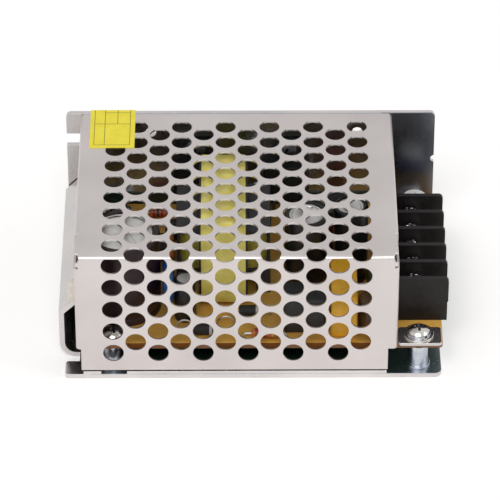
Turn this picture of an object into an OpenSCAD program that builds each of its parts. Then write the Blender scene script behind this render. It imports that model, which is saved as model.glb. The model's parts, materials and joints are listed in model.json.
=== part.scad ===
// Enclosed switching power supply: a folded chassis with a pierced, folded cover,
// a five-way screw terminal block and a populated circuit board inside.
// The origin is at the middle of the footprint, on the underside of the base.
// +X points to the terminal end, the pierced side wall faces -Y and +Z is up.

/* [Case] */
// Length of the chassis, from the end wall to the open end of the base
case_l = 86.4; // [85:0.1:88]
// Depth of the case, from the pierced side wall to the back wall
case_d = 57; // [56.6:0.1:58]
// Height of the case
case_h = 34; // [33.6:0.1:35]
// Thickness of the chassis sheet
chassis_t = 1.2; // [1:0.1:1.3]
// Outside radius of the bend between the base and the end wall
end_bend_r = 4; // [3:0.1:5]
// Height at which the end wall jogs inwards
jog_z = 12.8; // [11:0.1:14]
// Width of the open screw slot in the back wall
slot_w = 3.3; // [3:0.1:3.6]
// Radius of the M3 tapping holes
tap_r = 1.25; // [1.2:0.05:1.3]

/* [Cover] */
// Thickness of the pierced sheet
cover_t = 0.5; // [0.4:0.05:0.6]
// Length of the cover over its folded end flaps
cover_l = 72.2; // [70:0.1:74]
// Outside radius of the cover's folds
fold_r = 1; // [0.8:0.05:1.2]
// Depth of the folded end flaps
flap_d = 8; // [6:0.1:8.4]
// Diameter of each vent hole
hole_d = 4.64; // [3.6:0.02:4.8]
// Distance between neighbouring columns of holes
hole_pitch_x = 5.05; // [4.9:0.05:5.1]
// Distance between the holes of one column
hole_pitch_y = 6.11; // [5.8:0.01:6.2]
// Number of hole columns
hole_columns = 12; // [6:1:12]

/* [Terminal block] */
// Number of screw terminals
ways = 5; // [5:1:5]
// Distance between neighbouring terminals
way_pitch = 6.35; // [6:0.05:6.4]
// Thickness of the walls between the terminals
barrier_t = 1.1; // [1:0.05:1.3]
// Height of the block above the board
block_h = 11.7; // [11.4:0.1:12.5]
// Depth of the block along the length of the case
block_d = 13; // [12.6:0.1:13]
// Distance that the block stands out past the base
block_overhang = 1.6; // [0:0.1:3]

/* [Circuit board] */
// Thickness of the board
board_t = 1.6; // [1.2:0.1:1.6]
// Height of the board's underside above the table
board_z = 7; // [6.5:0.1:7.5]
// Outside radius of the standoffs
standoff_r = 2.2; // [2:0.05:2.5]

/* [Transformer] */
// Length of the transformer core
core_l = 28; // [26:0.1:28]
// Height of the transformer core
core_h = 20.5; // [18:0.1:20.6]
// Thickness of the transformer core
core_w = 11; // [9:0.1:11]

/* [Large capacitors] */
// Diameter of the input capacitor over its sleeve
input_cap_d = 17; // [14:0.1:17]
// Height of the input capacitor
input_cap_h = 20.7; // [18:0.1:21]
// Height of the output capacitors
output_cap_h = 20; // [16:0.1:21]

/* [Label] */
// Width of the date label along the length of the case
label_w = 10.4; // [8:0.1:12]
// Length of the date label on top of the cover
label_l = 14; // [10:0.1:16]

/* [Hidden] */
$fn = 48;

eps = 0.01;
cut = 1;                                  // how far a cutter runs past the face it opens
end_x = -(case_l + block_overhang) / 2;   // outer face of the end wall
base_x = end_x + case_l;                  // open end of the base
front_y = -case_d / 2;
back_y = case_d / 2;
wall_in_y = back_y - chassis_t;           // inner face of the back wall
back_bend_r = 2;                          // outside radius at the foot of the back wall

end_wall_y0 = front_y + 8;
end_wall_y1 = wall_in_y - 0.4;
end_wall_top = case_h - 1.4;
tab_inset = 1.4;                          // how far the base's corner tab stops short of the end wall
tab_y1 = front_y + 4.8;
back_x0 = end_x + 0.6;                    // free edge of the back wall beside the end wall
slot_z = 26.75;
slot_run = 4.6;
lip_h = 2;                                // the base's front edge turns up this far
lip_t = 1.2;

cover_x0 = end_x + 4.1;                   // outer face of the cover's flap at the end wall
cover_x1 = cover_x0 + cover_l;
jog = cover_x0 + cover_t + 0.05 - end_x;  // how far the end wall steps in, to lie behind the flap
cover_back_y = wall_in_y - 0.15;
flap_z0 = 24.6;                           // lower edge of the top's flaps
flap_y0 = front_y + 9.2;
side_flap_z0 = 8.3;                       // lower edge of the side wall's flaps
side_flap_z1 = case_h - 3.2;
ear_inset = 0.3;                          // the flat corners beside the fold stop this far inside the flaps
fold_inset = 1.2;                         // and the fold itself this far
relief = 0.6;                             // notch at each end of a bend
cover_screw_r = 2.7;                      // head of the countersunk cover screws
skirt_z0 = 2.4;
skirt_x0 = cover_x0 + 1.1;
skirt_x1 = cover_x1 - 2.1;

hole_mid_x = end_x + 40.25;
top_row_y = front_y + 1.45;               // first row on the top, over the fold
side_row_z = case_h + 0.76;               // first row on the side wall, over the fold

board_top = board_z + board_t;
board_x0 = end_x + 5.8;
board_x1 = base_x + 0.2;
board_y0 = front_y + 1.9;
board_y1 = wall_in_y - 0.7;
tab_t = 0.8;                              // thickness of the ground tab

post_in_x = end_x + 12.2;
post_out_x = base_x - 5.2;
post_front_y = front_y + 4.5;
tab_post_y = front_y + 3.9;
post_back_y = 23.3;
// The board's posts, and the post under the ground tab
board_posts = [[post_in_x, post_front_y], [post_in_x, post_back_y], [post_out_x, post_back_y]];
tab_post = [post_out_x, tab_post_y];
thread_r = 1.2;                           // screw shank over its worn-in thread
cover_screw_l = 3.2;
flat_washer_t = 0.4;
lock_washer_t = 0.4;

base_hole_pitch = 60;
base_hole_mid_x = (end_x + base_x) / 2;
side_hole_pitch = 48;
side_hole_x1 = end_x + 68.3;
side_hole_z = 29.4;
collar_r = 2.3;                           // drawn collar round each tapped hole
collar_h = 1;

block_x1 = base_x + block_overhang;
block_x0 = block_x1 - block_d;
block_l = ways * way_pitch + barrier_t;
block_y0 = front_y + 10;
block_y1 = block_y0 + block_l;
block_z1 = board_top + block_h;
cell_w = way_pitch - barrier_t;
cell_floor = board_top + 5.6;
contact_t = 0.8;
contact_w = cell_w - 0.35;
clamp_t = 1;
way_x = block_x1 - 7.7;                   // axis of the terminal screws
way_r = 1.72;                             // terminal screw shank
way_gap = 0.06;                           // running clearance round that shank

core_x = end_x + 37.2;                    // middle of the transformer
core_y = 1;
core_z = board_top + 1.5;
core_leg = 4.2;
bobbin_w = 21.4;
bobbin_l = 18.2;

input_cap = [end_x + 14.5, -12.2];
output_cap_a = [end_x + 56.1, -4.6];
output_cap_b = [end_x + 66.2, -1.4];
sleeve_t = 0.3;
choke_at = [end_x + 62, 10.5];
device_x = [end_x + 30.5, end_x + 51.5];  // the two power devices along the back wall
pad_t = 0.3;
device_z = board_top + 3.8;
trimmer_at = [end_x + 81.7, block_y0 + block_l + 3.5];
trimmer_z0 = board_top + 4.2;             // the trimmer's body stands on its legs
trimmer_top = trimmer_z0 + 2.2;
rotor_r = 2.7;
label_t = 0.12;
label_x = cover_x0 + 2.3;

// Sector of a disc of radius r between two angles, at most 180 degrees apart
module sector(r, from, to) {
    mid = (from + to) / 2;
    reach = r / cos((to - from) / 4) * 1.05;
    intersection() {
        circle(r);
        polygon([
            [0, 0],
            reach * [cos(from), sin(from)],
            reach * [cos((from + mid) / 2), sin((from + mid) / 2)],
            reach * [cos(mid), sin(mid)],
            reach * [cos((to + mid) / 2), sin((to + mid) / 2)],
            reach * [cos(to), sin(to)]
        ]);
    }
}

// One bend of a sheet: a ring sector between an inside and an outside radius
module bend(r_in, t, from, to) {
    difference() {
        sector(r_in + t, from, to);
        circle(r_in);
    }
}

// Rectangle with its corners rounded
module round_rect(x0, y0, x1, y1, r) {
    translate([x0 + r, y0])
        square([x1 - x0 - 2 * r, y1 - y0]);
    translate([x0, y0 + r])
        square([x1 - x0, y1 - y0 - 2 * r]);
    for (x = [x0 + r, x1 - r], y = [y0 + r, y1 - r])
        translate([x, y])
            circle(r);
}

// Extrusion along X of an outline drawn in Y and Z
module along_x(x0, x1) {
    translate([x0, 0, 0])
        rotate([90, 0, 90])
            linear_extrude(x1 - x0)
                children();
}

// Extrusion along Y of an outline drawn in X and Z
module along_y(y0, y1) {
    translate([0, y1, 0])
        rotate([90, 0, 0])
            linear_extrude(y1 - y0)
                children();
}

// Extrusion along Z of an outline drawn in X and Y
module along_z(z0, z1) {
    translate([0, 0, z0])
        linear_extrude(z1 - z0)
            children();
}

module box(x0, y0, z0, x1, y1, z1) {
    translate([x0, y0, z0])
        cube([x1 - x0, y1 - y0, z1 - z0]);
}

// Cylinder whose axis is parallel to Y
module rod_y(x, z, r, y0, y1) {
    translate([x, y1, z])
        rotate([90, 0, 0])
            cylinder(r = r, h = y1 - y0);
}

// Section of the end wall: foot bend, upright, jog and the upright behind the cover's flap
module end_wall_section() {
    t = chassis_t;
    jog_end = jog_z + jog;
    translate([end_x + end_bend_r, end_bend_r])
        bend(end_bend_r - t, t, 180, 270);
    polygon([
        [end_x, end_bend_r],
        [end_x + t, end_bend_r],
        [end_x + t, jog_z - t * tan(22.5)],
        [end_x + t + jog, jog_end - t * tan(22.5)],
        [end_x + t + jog, end_wall_top],
        [end_x + jog, end_wall_top],
        [end_x + jog, jog_end],
        [end_x, jog_z]
    ]);
}

// Section of the back wall's foot bend
module back_bend_section() {
    translate([back_y - back_bend_r, back_bend_r])
        bend(back_bend_r - chassis_t, chassis_t, 270, 360);
}

// Outline of the base plate with its corner tab and the relief beside the end wall
module base_outline() {
    relief_x = end_x + end_bend_r;
    flat_y1 = back_y - back_bend_r;
    r = 1.6;
    difference() {
        union() {
            translate([relief_x, front_y + r])
                square([base_x - relief_x - r, flat_y1 - front_y - r]);
            translate([relief_x, front_y])
                square([base_x - relief_x - r, r]);
            translate([base_x - r, front_y + r])
                square([r, flat_y1 - front_y - r]);
            translate([base_x - r, front_y + r])
                circle(r);
            round_rect(end_x + tab_inset, front_y, relief_x + 3, tab_y1, 0.8);
        }
        translate([relief_x - cut, tab_y1])
            square([cut + 0.6, end_wall_y0 - tab_y1]);
    }
}

// Outline of the back wall in X and Z, with its screw slot and edge notch
module back_wall_outline() {
    r = 1.2;
    foot_x0 = end_x + end_bend_r + 0.6;
    difference() {
        union() {
            round_rect(back_x0, 6, base_x, case_h, r);
            translate([foot_x0, back_bend_r])
                square([base_x - foot_x0, 6 + 2 * r - back_bend_r]);
        }
        translate([back_x0 - cut, slot_z - slot_w / 2])
            square([slot_run + cut - slot_w / 2, slot_w]);
        translate([back_x0 + slot_run - slot_w / 2, slot_z])
            circle(slot_w / 2);
        translate([base_x + 0.2, 21])
            circle(1);
    }
}

// The folded chassis
module chassis() {
    color([0.74, 0.74, 0.75])
        difference() {
            union() {
                along_z(0, chassis_t)
                    base_outline();
                along_x(end_x + end_bend_r + 0.6, base_x)
                    back_bend_section();
                along_y(wall_in_y, back_y)
                    back_wall_outline();
                along_y(end_wall_y0, end_wall_y1)
                    end_wall_section();
                // turned-up front edge, left out in front of the corner post
                box(post_in_x + 3.2, front_y, 0, base_x - 12.4, front_y + lip_t, lip_h);
                box(post_in_x - 6.6, front_y, 0, post_in_x - 2.6, front_y + lip_t, lip_h);
                for (x = base_holes())
                    translate([x, 0, 0])
                        cylinder(r = collar_r, h = chassis_t + collar_h);
                for (x = side_holes())
                    rod_y(x, side_hole_z, collar_r, wall_in_y - collar_h, back_y);
            }
            for (x = base_holes())
                translate([x, 0, -cut])
                    cylinder(r = tap_r, h = chassis_t + collar_h + 2 * cut);
            for (x = side_holes())
                rod_y(x, side_hole_z, tap_r, wall_in_y - collar_h - cut, back_y + cut);
            for (p = concat(board_posts, [tab_post]))
                translate([p[0], p[1], -cut])
                    cylinder(r = standoff_r + 0.05, h = chassis_t + 2 * cut);
            for (x = device_x)
                rod_y(x, device_hole_z(), tap_r + 0.05, wall_in_y - cut, back_y + cut);
            cover_screw_seats();
        }
}

function base_holes() = [for (s = [-1, 1]) base_hole_mid_x + s * base_hole_pitch / 2];
function side_holes() = [side_hole_x1 - side_hole_pitch, side_hole_x1];
function device_hole_z() = device_z + 12.6;
function cover_screw_y() = [-6, 16];
function cover_screw_z() = (flap_z0 + case_h) / 2;

// The folded sheet before piercing: top, fold and side wall, with flaps at both ends
module cover_sheet() {
    t = cover_t;
    x0 = cover_x0 + fold_r;
    x1 = cover_x1 - fold_r;
    flat_y0 = front_y + fold_r;
    flat_z1 = case_h - fold_r;
    // top, with square corners beside the fold
    box(x0, flat_y0, case_h - t, x1, cover_back_y, case_h);
    box(
        cover_x0 + ear_inset, flat_y0 + relief, case_h - t,
        cover_x1 - ear_inset, flap_y0 - relief, case_h
    );
    // fold
    along_x(cover_x0 + fold_inset, cover_x1 - fold_inset)
        translate([flat_y0, flat_z1])
            bend(fold_r - t, t, 90, 180);
    // side wall and its narrower skirt
    box(x0, front_y, side_flap_z0, x1, front_y + t, flat_z1);
    box(
        cover_x0 + ear_inset, front_y, side_flap_z1 + relief,
        cover_x1 - ear_inset, front_y + t, flat_z1 - relief
    );
    box(skirt_x0, front_y, skirt_z0, skirt_x1, front_y + t, side_flap_z0);
    // flaps turned down from the top
    for (side = [0, 1])
        along_y(flap_y0, cover_back_y)
            end_flap(side, case_h, flap_z0, -1);
    // flaps turned back from the side wall
    for (side = [0, 1])
        along_z(side_flap_z0, side_flap_z1)
            end_flap(side, front_y, front_y + flap_d, 1);
}

// Bend and leaf of one end flap; the leaf runs from "face" to "tip" and dir is its direction
module end_flap(side, face, tip, dir) {
    t = cover_t;
    translate([side == 0 ? 0 : cover_x0 + cover_x1, 0])
        mirror([side, 0])
            translate([0, face]) {
                mirror([0, dir < 0 ? 1 : 0])
                    translate([cover_x0 + fold_r, fold_r])
                        bend(fold_r - t, t, 180, 270);
                translate([cover_x0, dir > 0 ? fold_r : tip - face])
                    square([t, abs(tip - face) - fold_r]);
            }
}

// Part of a cutter on one side of a line through the middle of the fold's bend;
// the line leans by "lean" degrees from the vertical, towards the side wall
module past_fold(x, lean, top) {
    r = hole_d;
    reach = 3 * cover_t + 2;
    dy = -reach * sin(lean);
    dz = reach * cos(lean);
    far = 2 * hole_d;
    intersection() {
        children();
        along_x(x - r, x + r)
            translate([front_y + fold_r, case_h - fold_r])
                polygon(top
                    ? [[0, 0], [dy, dz], [far, dz], [far, 0]]
                    : [[0, 0], [dy, dz], [-reach, dz], [-reach, -far], [0, -far]]);
    }
}

// Vent holes: a staggered grid that runs over the fold without a break
module vent_holes() {
    r = hole_d / 2;
    for (i = [0 : hole_columns - 1]) {
        x = hole_mid_x + (i - (hole_columns - 1) / 2) * hole_pitch_x;
        // every second column is set half a pitch along, and the others have a hole across the fold
        on_fold = i % 2 == 1;
        shift = on_fold ? 0 : 0.5;
        top_y = top_row_y + (shift + (on_fold ? 1 : 0)) * hole_pitch_y;
        for (k = [0 : 7])
            translate([x, top_y + k * hole_pitch_y, case_h - 1.6])
                cylinder(r = r, h = cut + 1.6, $fn = 24);
        side_z = side_row_z - (shift + 1) * hole_pitch_y;
        for (k = [0 : 3])
            rod_y(x, side_z - k * hole_pitch_y, r, front_y - cut, front_y + 1.5, $fn = 24);
        past_fold(x, on_fold ? 45 : 65, false)
            rod_y(x, side_row_z - shift * hole_pitch_y, r, front_y - cut, front_y + fold_r, $fn = 24);
        if (on_fold)
            past_fold(x, 45, true)
                translate([x, top_row_y, case_h - fold_r])
                    cylinder(r = r, h = cut + fold_r, $fn = 24);
    }
}

// The pierced, folded cover
module mesh_cover() {
    color([0.80, 0.78, 0.78])
        difference() {
            cover_sheet();
            vent_holes();
            cover_screw_seats();
            // the side wall's flaps stop above the board
            box(
                cover_x0 - cut, front_y + fold_r + 0.2, side_flap_z0 - cut,
                cover_x1 + cut, front_y + flap_d + cut, board_top + 0.3
            );
        }
}

// Cutters for the countersunk screws, through the cover's flap and the end wall
module cover_screw_seats() {
    gap = 0.05;
    r = cover_screw_r + gap;
    bore_r = tap_r + gap;
    for (y = cover_screw_y())
        translate([cover_x0, y, cover_screw_z()])
            rotate([0, 90, 0]) {
                translate([0, 0, -cut])
                    cylinder(r = r, h = cut);
                cylinder(r1 = r, r2 = bore_r, h = r - bore_r);
                cylinder(r = bore_r, h = cover_t + chassis_t + cut);
            }
}

// Countersunk screws that hold the cover's flap to the end wall, flush with the flap
module cover_screws() {
    color([0.70, 0.70, 0.72])
        for (y = cover_screw_y())
            translate([cover_x0, y, cover_screw_z()])
                rotate([0, 90, 0])
                    union() {
                        cylinder(r1 = cover_screw_r, r2 = thread_r, h = cover_screw_r - thread_r);
                        cylinder(r = thread_r, h = cover_screw_l);
                    }
}

// Insulating film under the board, turned up along the back wall
module insulation_sheet() {
    t = 0.4;
    x0 = end_x + 6.6;
    x1 = base_x - 13;
    y0 = front_y + 2.2;
    color([0.10, 0.13, 0.11])
        difference() {
            union() {
                box(x0, y0, chassis_t, x1, wall_in_y - 1.2, chassis_t + t);
                box(x0, wall_in_y - 1.2 - t, chassis_t, x1, wall_in_y - 1.2, 3.4);
                box(x0, wall_in_y - 1.2 - t, 3, x1, wall_in_y, 3.4);
                box(x0, wall_in_y - t, 3, x1, wall_in_y, board_top + 2.9);
            }
            for (p = board_posts)
                translate([p[0], p[1], -cut])
                    cylinder(r = 3.6, h = 5);
            for (x = base_holes())
                translate([x, 0, -cut])
                    cylinder(r = 3, h = 5);
        }
}

// Clinched round posts that carry the board
module standoffs() {
    color([0.66, 0.70, 0.76])
        for (p = concat(board_posts, [tab_post]))
            translate([p[0], p[1], 0])
                difference() {
                    union() {
                        cylinder(r = standoff_r, h = board_z);
                        translate([0, 0, chassis_t])
                            cylinder(r = standoff_r + 0.5, h = 0.5);
                    }
                    translate([0, 0, -cut])
                        cylinder(r = tap_r, h = board_z + 2 * cut);
                }
}

// The circuit board
module circuit_board() {
    color([0.80, 0.63, 0.33])
        difference() {
            along_z(board_z, board_top)
                round_rect(board_x0, board_y0, board_x1, board_y1, 0.8);
            for (p = concat(board_posts, [tab_post]))
                translate([p[0], p[1], board_z - cut])
                    cylinder(r = 1.5, h = board_t + 2 * cut);
            for (i = [0 : ways - 1])
                translate([block_x0 + 2.4, way_y(i), board_z - cut])
                    cylinder(r = 0.75, h = board_t + 2 * cut);
        }
}

// Earth plate on the board's corner, beside the cover's flap
module ground_tab() {
    color([0.78, 0.78, 0.79])
        along_z(board_top, board_top + tab_t)
            difference() {
                round_rect(base_x - 9.9, front_y + 0.45, base_x - 0.1, front_y + 6.5, 0.8);
                translate(tab_post)
                    circle(1.7);
            }
}

// Height at which a screw stack starts on each post
function seat_z(p) = p == tab_post ? board_top + tab_t : board_top;

module washer(r_out, r_in, t) {
    difference() {
        cylinder(r = r_out, h = t);
        translate([0, 0, -cut])
            cylinder(r = r_in, h = t + 2 * cut);
    }
}

// Pan head with a domed crown, standing on z = 0
module pan_head(r, h) {
    crown = 1.3 * r;
    intersection() {
        cylinder(r = r, h = h);
        translate([0, 0, h - crown])
            sphere(r = crown);
    }
}

module board_screws() {
    color([0.80, 0.80, 0.80])
        for (p = concat(board_posts, [tab_post]))
            translate([p[0], p[1], seat_z(p) + flat_washer_t + lock_washer_t])
                union() {
                    pan_head(2.4, 1.4);
                    translate([0, 0, -5.4])
                        cylinder(r = thread_r, h = 5.6);
                }
}

module lock_washers() {
    color([0.72, 0.72, 0.72])
        for (p = concat(board_posts, [tab_post]))
            translate([p[0], p[1], seat_z(p) + flat_washer_t])
                washer(2.7, 1.6, lock_washer_t);
}

module flat_washers() {
    color([0.78, 0.78, 0.78])
        for (p = concat(board_posts, [tab_post]))
            translate([p[0], p[1], seat_z(p)])
                washer(3.4, 1.65, flat_washer_t);
}

// Middle of terminal i along the block, counted from its front end
function way_y(i) = block_y0 + barrier_t + cell_w / 2 + i * way_pitch;

// Outline of the block in X and Z; the barriers' outer corner is rounded
module barrier_outline() {
    r = 1;
    translate([block_x0, board_top])
        square([block_d - 0.2, block_h - r]);
    translate([block_x0, board_top + 5.2])
        square([block_d, block_h - r - 5.2]);
    translate([block_x0, block_z1 - r - eps])
        square([block_d - r, r + eps]);
    translate([block_x1 - r, block_z1 - r])
        circle(r);
}

// One-piece moulded housing: a base with barriers, open at the top and at the outer side
module terminal_housing() {
    color([0.13, 0.12, 0.12])
        difference() {
            along_y(block_y0, block_y1)
                barrier_outline();
            for (i = [0 : ways - 1]) {
                y0 = way_y(i) - cell_w / 2;
                box(block_x0 + 1.2, y0, cell_floor, block_x1 + cut, y0 + cell_w, block_z1 + cut);
                // well below the screw
                translate([way_x, way_y(i), board_top + 1])
                    cylinder(r = way_r + 0.35, h = block_h);
                // slot for the contact's solder leg
                box(
                    block_x0 + 1.2, y0 + 1.2, board_top - cut,
                    block_x0 + 3.4, y0 + cell_w - 1.2, cell_floor + cut
                );
            }
        }
}

// Plated contact plates with a tapped hole and a leg down to the board
module terminal_contacts() {
    leg_x = block_x0 + 1.9;
    contact_z1 = cell_floor + contact_t;
    color([0.80, 0.78, 0.70])
        for (i = [0 : ways - 1])
            translate([0, way_y(i), 0])
                difference() {
                    union() {
                        box(leg_x, -contact_w / 2, cell_floor, block_x1 - 0.6, contact_w / 2, contact_z1);
                        box(leg_x, -1.3, board_top + 0.2, leg_x + 0.8, 1.3, contact_z1);
                        translate([block_x0 + 2.4, 0, board_z - 1])
                            cylinder(r = 0.45, h = board_t + 2);
                    }
                    translate([way_x, 0, cell_floor - cut])
                        cylinder(r = way_r + way_gap, h = contact_t + 2 * cut);
                }
}

// Terminal screw i, with a raised head between the barriers
module terminal_screw(i) {
    seat = cell_floor + contact_t + clamp_t;
    color([0.82, 0.82, 0.82])
        translate([way_x, way_y(i), seat])
            union() {
                pan_head(2.3, 2.4);
                translate([0, 0, -6])
                    cylinder(r = way_r, h = 6.2);
            }
}

// Captive square clamp under screw i, with its outer edge turned down a little
module terminal_clamp(i) {
    half = contact_w / 2 - 0.05;
    color([0.76, 0.76, 0.77])
        translate([way_x, way_y(i), cell_floor + contact_t])
            difference() {
                union() {
                    box(-half, -half, 0.35, half, half, clamp_t);
                    box(half - 0.6, -half, 0, half, half, clamp_t);
                    box(-half, -half, 0, 0.6 - half, half, clamp_t);
                }
                translate([0, 0, -cut])
                    cylinder(r = way_r + way_gap, h = clamp_t + 2 * cut);
            }
}

module terminal_screw_1() { terminal_screw(0); }
module terminal_screw_2() { terminal_screw(1); }
module terminal_screw_3() { terminal_screw(2); }
module terminal_screw_4() { terminal_screw(3); }
module terminal_screw_5() { terminal_screw(4); }
module terminal_clamp_1() { terminal_clamp(0); }
module terminal_clamp_2() { terminal_clamp(1); }
module terminal_clamp_3() { terminal_clamp(2); }
module terminal_clamp_4() { terminal_clamp(3); }
module terminal_clamp_5() { terminal_clamp(4); }

// Paper label on the top, folded over the back edge
module date_label() {
    x1 = label_x + label_w;
    color([0.97, 0.89, 0.16])
        union() {
            box(label_x, cover_back_y - label_l + 0.3, case_h, x1, back_y + label_t, case_h + label_t);
            box(label_x, back_y, case_h - 6.5, x1, back_y + label_t, case_h + label_t);
        }
}

// Aluminium can with a pressed vent and a groove near its foot
module can(d, h) {
    r = d / 2;
    rim = 0.8;
    difference() {
        rotate_extrude()
            union() {
                square([r - rim, h]);
                square([r, h - rim]);
                translate([r - rim, h - rim])
                    circle(rim);
            }
        translate([0, 0, h - 0.25])
            cylinder(r = r - 1.3, h = cut);
        translate([0, 0, 1.8])
            rotate_extrude()
                translate([r + 0.25, 0])
                    circle(0.6);
    }
}

// Shrunk sleeve with its edge drawn over the top of the can
module sleeve(d, h) {
    rotate_extrude()
        difference() {
            union() {
                square([d / 2, h - 0.6]);
                square([d / 2 - 0.6, h]);
                translate([d / 2 - 0.6, h - 0.6])
                    circle(0.6);
            }
            translate([-cut, -cut])
                square([d / 2 - sleeve_t + cut, h - sleeve_t + cut]);
            translate([-cut, -cut])
                square([0.8 * d / 2 + cut, h + 2 * cut]);
        }
}

module input_capacitor_can() {
    color([0.84, 0.84, 0.85])
        translate([input_cap[0], input_cap[1], board_top])
            can(input_cap_d - 2 * sleeve_t, input_cap_h - sleeve_t);
}

module input_capacitor_sleeve() {
    color([0.22, 0.13, 0.14])
        translate([input_cap[0], input_cap[1], board_top])
            sleeve(input_cap_d, input_cap_h);
}

module output_capacitor_cans() {
    color([0.84, 0.84, 0.85]) {
        translate([output_cap_a[0], output_cap_a[1], board_top])
            can(10 - 2 * sleeve_t, output_cap_h - sleeve_t);
        translate([output_cap_b[0], output_cap_b[1], board_top])
            can(8 - 2 * sleeve_t, output_cap_h - sleeve_t);
    }
}

module output_capacitor_sleeves() {
    color([0.11, 0.11, 0.12]) {
        translate([output_cap_a[0], output_cap_a[1], board_top])
            sleeve(10, output_cap_h);
        translate([output_cap_b[0], output_cap_b[1], board_top])
            sleeve(8, output_cap_h);
    }
}

// Ferrite core: outer ring with a middle leg, seen from the end of the case
module transformer_core() {
    window = (core_l - 2 * core_leg - 8) / 2;
    color([0.16, 0.16, 0.17])
        difference() {
            translate([core_x - core_w / 2, core_y - core_l / 2, core_z])
                cube([core_w, core_l, core_h]);
            for (s = [-1, 1])
                translate([core_x - core_w, core_y + s * (4 + window / 2) - window / 2, core_z + core_leg])
                    cube([2 * core_w, window, core_h - 2 * core_leg]);
        }
}

// Bobbin: two flanges on a square tube, with feet on the board
module transformer_bobbin() {
    z0 = core_z + core_leg + 0.1;
    z1 = core_z + core_h - core_leg - 0.1;
    half_w = bobbin_w / 2;
    half_l = bobbin_l / 2;
    tube = core_w / 2 + 1;
    foot_w = 3.2;
    color([0.22, 0.22, 0.23])
        translate([core_x, core_y, 0])
            difference() {
                union() {
                    box(-half_w, -half_l, z0, half_w, half_l, z0 + 1);
                    box(-half_w, -half_l, z1 - 1, half_w, half_l, z1);
                    box(-tube, -5, z0, tube, 5, z1);
                    for (s = [-1, 1])
                        translate([s * (half_w - foot_w / 2), 0, board_top])
                            box(-foot_w / 2, -half_l, 0, foot_w / 2, half_l, z0 + 1 - board_top);
                }
                box(-core_w / 2 - 0.1, -4.1, z0 - cut, core_w / 2 + 0.1, 4.1, z1 + cut);
            }
}

// Taped winding between the flanges
module transformer_winding() {
    z0 = core_z + core_leg + 1.1;
    z1 = core_z + core_h - core_leg - 1.1;
    half_w = bobbin_w / 2 - 0.9;
    half_l = bobbin_l / 2 - 0.4;
    tube = core_w / 2 + 1;
    color([0.70, 0.64, 0.24])
        translate([core_x, core_y, 0])
            along_z(z0, z1)
                difference() {
                    round_rect(-half_w, -half_l, half_w, half_l, 3.4);
                    translate([-tube, -5])
                        square([2 * tube, 10]);
                }
}

// Yellow tape wrapped round the outside of the core
module transformer_tape() {
    t = 0.2;
    w = core_w / 2 - 0.5;
    color([0.95, 0.88, 0.36])
        translate([core_x, 0, 0])
            along_x(-w, w)
                difference() {
                    translate([core_y - core_l / 2 - t, core_z - t])
                        square([core_l + 2 * t, core_h + 2 * t]);
                    translate([core_y - core_l / 2, core_z])
                        square([core_l, core_h]);
                }
}

// Moulded box capacitor across the mains input
module x_capacitor() {
    x = end_x + 61.4;
    color([0.95, 0.66, 0.10])
        along_z(board_top, board_top + 11)
            round_rect(x, front_y + 3.9, x + 6, front_y + 19, 0.5);
}

// Blue disc capacitor, standing beside the input capacitor
module y_capacitor() {
    color([0.07, 0.22, 0.48])
        translate([end_x + 23.5, -15.6, board_top + 9])
            union() {
                rotate([0, 90, 0])
                    cylinder(r = 5.2, h = 2.5);
                for (s = [-1, 1])
                    translate([1.25, s * 2.5, -9])
                        cylinder(r = 0.35, h = 5.5);
            }
}

// Cased mains choke
module line_choke() {
    x = end_x + 50.8;
    color([0.17, 0.17, 0.18])
        along_z(board_top, board_top + 9.1)
            round_rect(x, front_y + 5.4, x + 9.4, front_y + 12.6, 0.8);
}

// Drum core of the output choke
module output_choke_core() {
    color([0.20, 0.20, 0.21])
        translate([choke_at[0], choke_at[1], board_top])
            rotate_extrude()
                union() {
                    square([4.5, 1.4]);
                    square([2.4, 12.4]);
                    translate([0, 11])
                        square([4.5, 1.4]);
                }
}

// Enamelled wire on the drum
module output_choke_coil() {
    color([0.42, 0.12, 0.07])
        translate([choke_at[0], choke_at[1], board_top + 1.4])
            washer(4.2, 2.4, 9.6);
}

// Round fuse with two leads into the board
module fuse() {
    color([0.32, 0.20, 0.13])
        translate([end_x + 71.2, front_y + 8.2, board_top])
            rotate_extrude()
                union() {
                    square([3, 7.8]);
                    square([3.6, 7.2]);
                    translate([3, 7.2])
                        circle(0.6);
                }
}

// Inrush limiter disc
module thermistor() {
    color([0.13, 0.17, 0.13])
        translate([end_x + 69.8, front_y + 17, board_top + 6.2])
            union() {
                rotate([0, 90, 0])
                    cylinder(r = 4.4, h = 3.2);
                for (s = [-1, 1])
                    translate([1.6, s * 2.5, -6.2])
                        cylinder(r = 0.4, h = 3);
            }
}

// Axial part lying along X: a body with two bent leads into the board
module axial_part(r, body_l, lead_l) {
    rotate([0, 90, 0])
        translate([0, 0, -body_l / 2])
            cylinder(r = r, h = body_l);
    rotate([0, 90, 0])
        translate([0, 0, -lead_l / 2])
            cylinder(r = 0.35, h = lead_l);
    for (s = [-1, 1])
        translate([s * lead_l / 2, 0, -r])
            cylinder(r = 0.35, h = r + 0.35);
}

module rectifier_diodes() {
    r = 1.35;
    color([0.12, 0.12, 0.12])
        for (p = [[end_x + 43.2, -16.6], [end_x + 32.7, -23.3], [end_x + 26, 16.5], [end_x + 26, 12.6]])
            translate([p[0], p[1], board_top + r])
                axial_part(r, 5, 9);
}

// Resistors: two stand on end beside the transformer, the others lie flat
module resistors() {
    r = 1.15;
    color([0.80, 0.52, 0.30]) {
        for (p = [[end_x + 24.8, -7.4], [end_x + 24.8, -1.4]])
            translate([p[0], p[1], board_top])
                rotate([0, 0, 90])
                    standing_part(r, 8);
        for (p = [[end_x + 17, 0.8], [end_x + 22.6, 21.4], [end_x + 46.5, -24.6]])
            translate([p[0], p[1], board_top + r])
                axial_part(r, 6, 9.6);
    }
}

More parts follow.
